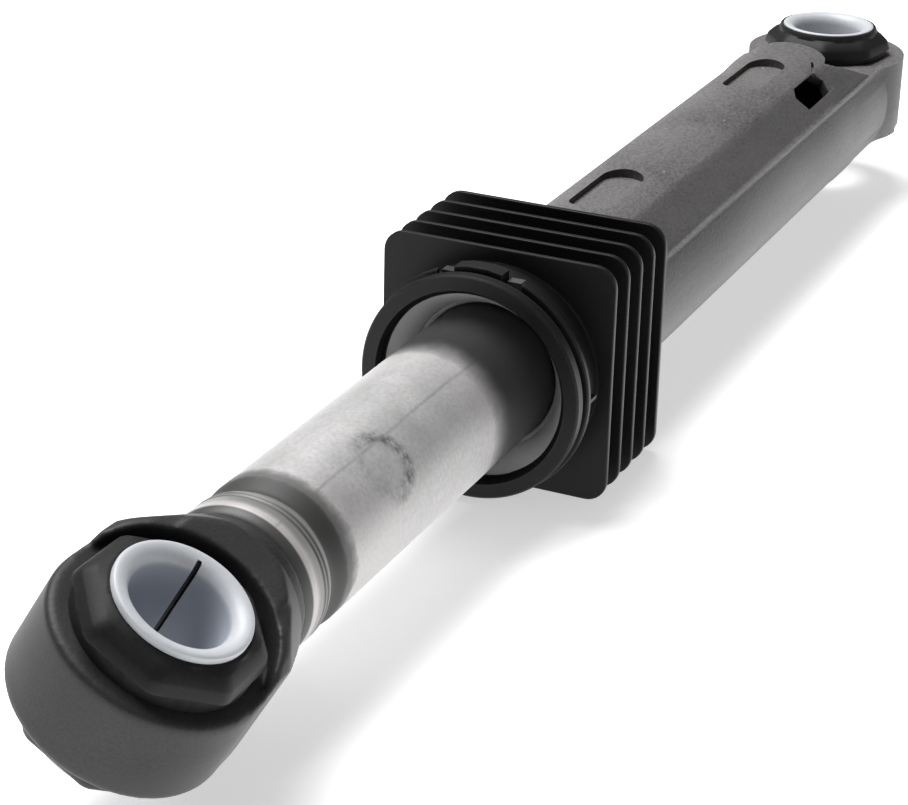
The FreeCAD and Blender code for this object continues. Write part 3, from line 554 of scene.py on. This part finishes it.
def cut_across(shape, point, normal, clear_outer=False):
    """Splits every face that a plane crosses, and drops what is in front of it if asked to."""
    bmesh.ops.bisect_plane(shape, geom=shape.verts[:] + shape.edges[:] + shape.faces[:],
                           dist=1e-6, plane_co=point, plane_no=normal, clear_outer=clear_outer)


def cut_lengthwise(shape, turn):
    """Splits every face that a plane through the X axis crosses, at turn degrees from Z."""
    slant = math.radians(turn)
    cut_across(shape, (0.0, 0.0, 0.0), (0.0, math.cos(slant), math.sin(slant)))


def off_x(corner):
    """How far a corner lies off the X axis, in mm."""
    return math.hypot(corner.co.y, corner.co.z) / MM


def off_own_axis(corner):
    """How far a corner of an eye's ring lies off its bore's axis, in mm."""
    return math.hypot(corner.co.x, corner.co.y) / MM


def evened(shape, start, stop, pace, turn_step, radii):
    """Cuts long thin faces into even ones about the X axis and sets them truly on their rounds."""
    off_facets = 0.37
    at = start + pace
    while at < stop:
        cut_across(shape, (at * MM, 0.0, 0.0), (1.0, 0.0, 0.0))
        at += pace
    for turn in range(0, 180, turn_step):
        cut_lengthwise(shape, turn + off_facets)
    for corner in shape.verts:
        reach = off_x(corner)
        for radius in radii:
            if abs(reach - radius) < 0.05:
                corner.co.y *= radius / reach
                corner.co.z *= radius / reach
    return shape


def stepped_flanks(shape, radius, deck_edge, band_start, band_stop, drop, ledge_drop, fade_from,
                   fade_to):
    """Lets the tube's back fall off beside the deck into a flat band that ends at the ledge.

    The angles are measured from the deck's middle, in degrees. The step fades out along X from
    fade_from to fade_to, and the ledge's upper corner sinks by ledge_drop, in mm."""
    pace = 1.5
    for step in range(int((band_start - deck_edge) / pace) + 1):
        turn = deck_edge + pace * step
        cut_lengthwise(shape, turn)
        cut_lengthwise(shape, 180.0 - turn)
    edge, start, stop = (math.radians(turn) for turn in (deck_edge, band_start, band_stop))
    first = Vector((math.sin(start), math.cos(start))) * (radius - drop)
    band = Vector((math.sin(stop), math.cos(stop))) * radius - first
    for corner in shape.verts:
        reach = off_x(corner)
        around = math.atan2(abs(corner.co.y), abs(corner.co.z))
        if (abs(corner.co.z / MM - LEDGE_UP) < 0.02
                and abs(abs(corner.co.y) / MM - LEDGE_OUT) < 0.02):
            corner.co.z -= ledge_drop * MM
        if abs(reach - radius) > 0.05 or not edge < around < stop:
            continue
        if around < start:
            share = (around - edge) / (start - edge)
            wanted = radius - drop * share * share * (3.0 - 2.0 * share)
        else:
            ray = Vector((math.sin(around), math.cos(around)))
            wanted = first.cross(band) / ray.cross(band)
        fade = min(1.0, max(0.0, (fade_to - corner.co.x / MM) / (fade_to - fade_from)))
        factor = 1.0 + (wanted / reach - 1.0) * fade
        corner.co.y *= factor
        corner.co.z *= factor
    return shape


def broken_edges(piece, width, angle):
    """The small radius that a mould leaves on every edge sharper than angle, in degrees."""
    bevel = piece.modifiers.new("edge_radius", "BEVEL")
    bevel.width = width * MM
    bevel.segments = 2
    bevel.limit_method = "ANGLE"
    bevel.angle_limit = math.radians(angle)
    bevel.harden_normals = True
    bevel.use_clamp_overlap = True


def softened(piece, voxel, rounds):
    """Rounds a piece off all over, as its mould does, without a facet left."""
    even = piece.modifiers.new("even_skin", "REMESH")
    even.mode = "VOXEL"
    even.voxel_size = voxel * MM
    even.use_smooth_shade = True
    soft = piece.modifiers.new("soft_corners", "SMOOTH")
    soft.factor = 0.5
    soft.iterations = rounds


def rod_tube():
    """Thin tube, rolled into the rod end's groove and curled over its shoulder."""
    curled_end = [
        (-72.0, 9.5), (-72.0, 10.15), (-71.75, 10.5), (-71.3, 10.75), (-70.7, 10.92), (-70.2, 11.0)]
    fine_hoops = [
        (-67.35, 11.0), (-67.2, 10.88), (-67.1, 10.88), (-66.95, 11.0),
        (-66.55, 11.0), (-66.4, 10.88), (-66.3, 10.88), (-66.15, 11.0)]
    groove = [
        (-65.8, 10.96), (-65.4, 10.82), (-64.9, 10.55), (-64.4, 10.3), (-64.0, 10.18),
        (-63.6, 10.15), (-63.2, 10.2), (-62.7, 10.36), (-62.1, 10.62), (-61.6, 10.82),
        (-61.1, 10.95), (-60.6, 11.0)]
    inner_end = [
        (49.4, 11.0), (49.8, 10.7), (50.2, 10.42), (50.6, 10.36), (51.0, 10.42), (51.4, 10.7),
        (51.8, 11.0), (55.8, 11.0), (56.0, 10.8)]
    inside = [
        (56.0, 10.0), (51.9, 10.0), (50.9, 9.4), (50.3, 9.4), (49.3, 10.0), (-60.5, 10.0),
        (-62.6, 9.2), (-64.6, 9.2), (-66.3, 10.0), (-70.6, 10.0), (-71.1, 9.5)]
    profile = curled_end + fine_hoops + groove + inner_end + inside
    keep(spun([(MOUTH + x, radius) for x, radius in profile], 160),
         "rod_tube_plated", STEEL, "rod", "rod_tube", angle=60.0)


def mouth_funnel():
    """The funnel ring in the mouth: outer lip, smooth cone, and the bore that carries the rod."""
    profile = [
        (2.05, 14.62), (2.12, 15.08), (2.3, 15.15), (4.5, 15.15), (4.5, 13.35), (5.9, 12.85),
        (10.0, 12.85), (10.0, 11.08), (7.4, 11.08), (6.9, 11.35), (6.55, 11.78), (5.6, 11.95)]
    keep(spun([(MOUTH + x, radius) for x, radius in profile], 160),
         "guide_moulding", GUIDE_PLASTIC, "housing", "mouth_guide", angle=35.0)


def around_bore(points, steps):
    """A ring turned about its own bore, Z, from a closed profile of (radius, z) in mm."""
    upright = Matrix.Rotation(-math.pi / 2, 4, "Y")
    return spun([(z, radius) for radius, z in points], steps, turn=upright)


def in_eye(at_x, about_x, about_z):
    """Where an eye's own frame sits in the part: along the row, leaned, turned about its bore."""
    return (Matrix.Translation((at_x * MM, 0.0, 0.0)) @ Matrix.Rotation(about_x, 4, "X")
            @ Matrix.Rotation(about_z, 4, "Z"))


def bush(name, body, node, frame_of_eye, seat_top, seat_low, rise,
         brim=((9.3, 11.52), (9.6, 11.44))):
    """Rubber bush: a waist in the eye and an eight-sided collar, soft at its corners, each side."""
    bore, top, seat = 8.18, 11.52, 8.2
    wide, narrow, play = 11.9, 11.17, 0.03
    eighth = math.pi / 4
    collar = [
        (12.85, seat + 0.02), (12.82, 8.4), (12.36, 9.65), (12.2, 9.88), (10.95, 11.02),
        (10.75, 11.1)]
    waist = [
        (wide, seat + rise), (wide, seat_top + play), (narrow, seat_top + play),
        (narrow, -seat_low - play), (wide, -seat_low - play), (wide, -seat + rise)]
    profile = (
        [(bore, top + rise)] + [(radius, z + rise) for radius, z in brim]
        + [(radius, z + rise) for radius, z in reversed(collar)] + waist
        + [(radius, -z + rise) for radius, z in collar] + [(bore, -11.1 + rise)])
    shape = around_bore(profile, 128)
    for corner in shape.verts:
        if off_own_axis(corner) > 10.5 and abs(corner.co.z / MM - rise) > seat + 0.01:
            around = (math.atan2(corner.co.y, corner.co.x) - eighth / 2) % eighth
            off_corner = min(around, eighth - around)
            share = min(0.985, math.cos(eighth / 2) / math.cos(eighth / 2 - off_corner))
            corner.co.x *= share
            corner.co.y *= share
    bmesh.ops.transform(shape, matrix=frame_of_eye, verts=shape.verts)
    keep(shape, name, BUSH_RUBBER, body, node, angle=28.0)


def sleeve(name, body, node, frame_of_eye, rise, white):
    """White sleeve: a lip with soft edges at each end, and one slit along the bore."""
    wall, lip, drop = 8.15, 9.1, 11.55
    slit_depth, slit_turn, slit_short = 7.85, math.radians(2.3), 0.5
    outer_edge = [(lip, 0.4), (lip - 0.1, 0.14), (lip - 0.35, 0.0)]
    funnel = [
        (8.45, 0.0), (8.1, 0.06), (7.6, 0.26), (7.2, 0.55), (6.85, 1.0), (6.62, 1.5),
        (SLEEVE_BORE, 2.1)]
    upper = [(lip, drop)] + [(radius, SLEEVE_HALF - below) for radius, below in outer_edge + funnel]
    inner = [(SLEEVE_BORE, z) for z in (8.0, 4.0, 0.0, -4.0, -8.0)]
    lower = [(radius, -z) for radius, z in reversed(upper)]
    profile = [(wall, drop)] + upper + inner + lower + [(wall, -drop)]
    shape = around_bore([(radius, z + rise) for radius, z in profile], 240)
    for corner in shape.verts:
        reach = off_own_axis(corner)
        in_slit = abs(math.atan2(corner.co.y, corner.co.x)) < slit_turn
        if (reach < slit_depth - 0.05 and in_slit
                and abs(corner.co.z / MM - rise) < SLEEVE_HALF - slit_short):
            corner.co.x *= slit_depth / reach
            corner.co.y *= slit_depth / reach
    bmesh.ops.transform(shape, matrix=frame_of_eye, verts=shape.verts)
    keep(shape, name, white, body, node, angle=35.0)


def square_outline(half, radius, steps_per_corner):
    """A square with round corners, as points of the YZ plane in mm, once round."""
    points = []
    reach = (half - radius) * math.sqrt(2)
    for quarter in range(4):
        centre = math.radians(45 + 90 * quarter)
        for step in range(steps_per_corner + 1):
            turn = math.radians(90 * quarter + 90 * step / steps_per_corner)
            points.append((reach * math.cos(centre) + radius * math.cos(turn),
                           reach * math.sin(centre) + radius * math.sin(turn)))
    return points


def cooling_plate(shape, start, thick, hole):
    """One thin square plate of the collar, its rim softened, its hole inside the hub."""
    rim = square_outline(FIN_HALF, FIN_CORNER, 8)
    soft, near = 0.12, 0.12 * 0.3
    stop = start + thick
    loops = []
    for x, grow in ((start, -soft), (start + near, -near), (start + soft, 0.0),
                    (stop - soft, 0.0), (stop - near, -near), (stop, -soft)):
        factor = (FIN_HALF + grow) / FIN_HALF
        loops.append([shape.verts.new((x * MM, y * factor * MM, z * factor * MM)) for y, z in rim])
    turns = [math.atan2(z, y) for y, z in rim]
    for x in (stop, start):
        loops.append([
            shape.verts.new((x * MM, hole * math.cos(turn) * MM, hole * math.sin(turn) * MM))
            for turn in turns])
    count = len(rim)
    for i, loop in enumerate(loops):
        following = loops[(i + 1) % len(loops)]
        for k in range(count):
            after = (k + 1) % count
            shape.faces.new((loop[k], loop[after], following[after], following[k]))


def finned_collar():
    """Front ring, latch tabs and notches from the part's own form; hub and plates built on."""
    shape = joined_copy("finned_collar")
    cut_across(shape, ((MOUTH + 7.2) * MM, 0.0, 0.0), (1.0, 0.0, 0.0), clear_outer=True)
    hub = spun([(MOUTH + x, radius) for x, radius in (
        (7.1, 15.3), (7.1, 16.77), (31.75, 16.77), (32.0, 16.6), (32.0, 15.3))], 160)
    part = bpy.data.meshes.new("hub")
    hub.to_mesh(part)
    hub.free()
    shape.from_mesh(part)
    bpy.data.meshes.remove(part)
    first_plate, pace, plates = 9.9, 5.2, 5
    for number in range(plates):
        cooling_plate(shape, MOUTH + first_plate + pace * number, thick=0.9, hole=16.0)
    piece = keep(shape, "collar_moulding", COLLAR_PLASTIC, "housing", "finned_collar",
                 angle=35.0)
    broken_edges(piece, 0.1, angle=40.0)


def housing():
    """The housing's own form, its faces evened and its flanks stepped beside the deck."""
    shape = evened(joined_copy("housing"), start=MOUTH, stop=-24.0, pace=5.0, turn_step=5,
                   radii=(TUBE_RADIUS, BORE_RADIUS))
    stepped_flanks(shape, TUBE_RADIUS, deck_edge=28.0, band_start=37.0, band_stop=59.1, drop=0.62,
                   ledge_drop=0.12, fade_from=-33.0, fade_to=-29.0)
    piece = keep(shape, "housing_moulding", HOUSING_PLASTIC, "housing", "housing",
                 angle=22.0)
    broken_edges(piece, 0.22, angle=32.0)


def rod_end():
    """The rod's eye, its own form rounded off all over."""
    piece = keep(joined_copy("rod_end"), "rod_end_moulding", ROD_END_PLASTIC, "rod", "rod_end",
                 angle=30.0)
    softened(piece, voxel=0.33, rounds=10)


rod_tube()
mouth_funnel()
finned_collar()
housing()
rod_end()
bush("housing_bush_rubber", "housing", "housing_bush", in_eye(0.0, 0.0, math.radians(-10.0)),
     7.8, 7.2, HOUSING_RISE,
     brim=((9.16, 11.52), (9.16, 12.2), (9.25, 12.31), (9.5, 12.25), (9.72, 11.95), (9.88, 11.4)))
bush("rod_bush_rubber", "rod", "rod_bush", in_eye(ROD_EYE, EYE_TURN, 0.0), 6.7, 6.7, ROD_RISE)
sleeve("housing_sleeve_white", "housing", "housing_sleeve", in_eye(0.0, 0.0, math.pi),
       HOUSING_RISE, HOUSING_SLEEVE_WHITE)
sleeve("rod_sleeve_white", "rod", "rod_sleeve", in_eye(ROD_EYE, EYE_TURN, ROD_SLIT_TURN),
       ROD_RISE, ROD_SLEEVE_WHITE)

for hidden, inner_material in (("friction_pad", PAD_FOAM), ("pad_retainer", GUIDE_PLASTIC),
                               ("rod_guide", GUIDE_PLASTIC)):
    for material_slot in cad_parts[hidden].material_slots:
        material_slot.material = inner_material


# Studio -----------------------------------------------------------------

def seen_as(tree, by_camera, by_mirror, by_surface):
    """How bright the table glows for the camera, for mirror rays and for bounced light.

    The camera sees more of the glow from 0.5 to 1.4 m away, so that the table ends in white."""
    path = add(tree, "LightPath").outputs
    distance = vector_step(tree, "LENGTH", own_place(tree))
    glow = spread_value(tree, distance, by_camera, 0.9, 0.5, 1.4, eased=True)
    indirect = blend_value(tree, path["Is Glossy Ray"], by_surface, by_mirror)
    straight = worked_out(tree, "MAXIMUM", path["Is Camera Ray"], path["Is Transmission Ray"])
    return blend_value(tree, straight, indirect, glow)


def floor():
    """A white table below the part."""
    shape = bmesh.new()
    bmesh.ops.create_grid(shape, x_segments=1, y_segments=1, size=4.0)
    bmesh.ops.translate(shape, vec=(0.0, 0.0, cad_box[0].z), verts=shape.verts)
    mesh = bpy.data.meshes.new("floor")
    shape.to_mesh(mesh)
    shape.free()
    material, tree, shader = finish_named(
        "floor_white", Base_Color=(0.82, 0.82, 0.82, 1.0), Roughness=1.0, Specular_IOR_Level=0.0,
        Emission_Color=(1.0, 1.0, 1.0, 1.0))
    wire(tree, (seen_as(tree, by_camera=0.52, by_mirror=1.3, by_surface=0.6),
                shader.inputs["Emission Strength"]))
    mesh.materials.append(material)
    piece = bpy.data.objects.new("floor", mesh)
    bpy.context.scene.collection.objects.link(piece)


def soft_light(name, place_at, aim, size, watts):
    """A broad lamp that looks at a point."""
    lamp = bpy.data.lights.new(name, "AREA")
    lamp.shape = "RECTANGLE"
    lamp.size, lamp.size_y = size
    lamp.energy = watts
    holder = bpy.data.objects.new(name, lamp)
    holder.location = place_at
    holder.rotation_euler = (Vector(aim) - Vector(place_at)).to_track_quat("-Z", "Y").to_euler()
    bpy.context.scene.collection.objects.link(holder)


def studio():
    """White surroundings that light the part little, the table and one overhead light."""
    world = bpy.data.worlds.new("studio")
    world.use_nodes = True
    bpy.context.scene.world = world
    tree = world.node_tree
    sky = tree.nodes["Background"]
    sky.inputs["Color"].default_value = (1.0, 1.0, 1.0, 1.0)
    by_camera = add(tree, "LightPath").outputs["Is Camera Ray"]
    wire(tree, (spread_value(tree, by_camera, 0.18, 1.0, 0.0, 1.0), sky.inputs["Strength"]))
    floor()
    soft_light("overhead", (-0.02, 0.38, 0.95), aim=(-0.14, 0.0, 0.0), size=(0.9, 0.6), watts=20.0)
    bpy.context.scene.view_settings.view_transform = "Standard"


def camera():
    """The photograph's view, as fitted to it: the place, the three axes and the focal length."""
    lens = bpy.data.cameras.new("camera")
    lens.lens = 102.88
    lens.sensor_width = 36.0
    lens.sensor_fit = "HORIZONTAL"
    lens.clip_start = 0.01
    holder = bpy.data.objects.new("camera", lens)
    right, up, back = (
        (0.4186, -0.9078, 0.0244), (0.3563, 0.1888, 0.9151), (-0.8354, -0.3744, 0.4025))
    turn = Matrix((right, up, back)).transposed()
    holder.matrix_world = Matrix.Translation((-0.5001, -0.1429, 0.1533)) @ turn.to_4x4()
    bpy.context.scene.collection.objects.link(holder)
    bpy.context.scene.camera = holder


studio()
camera()
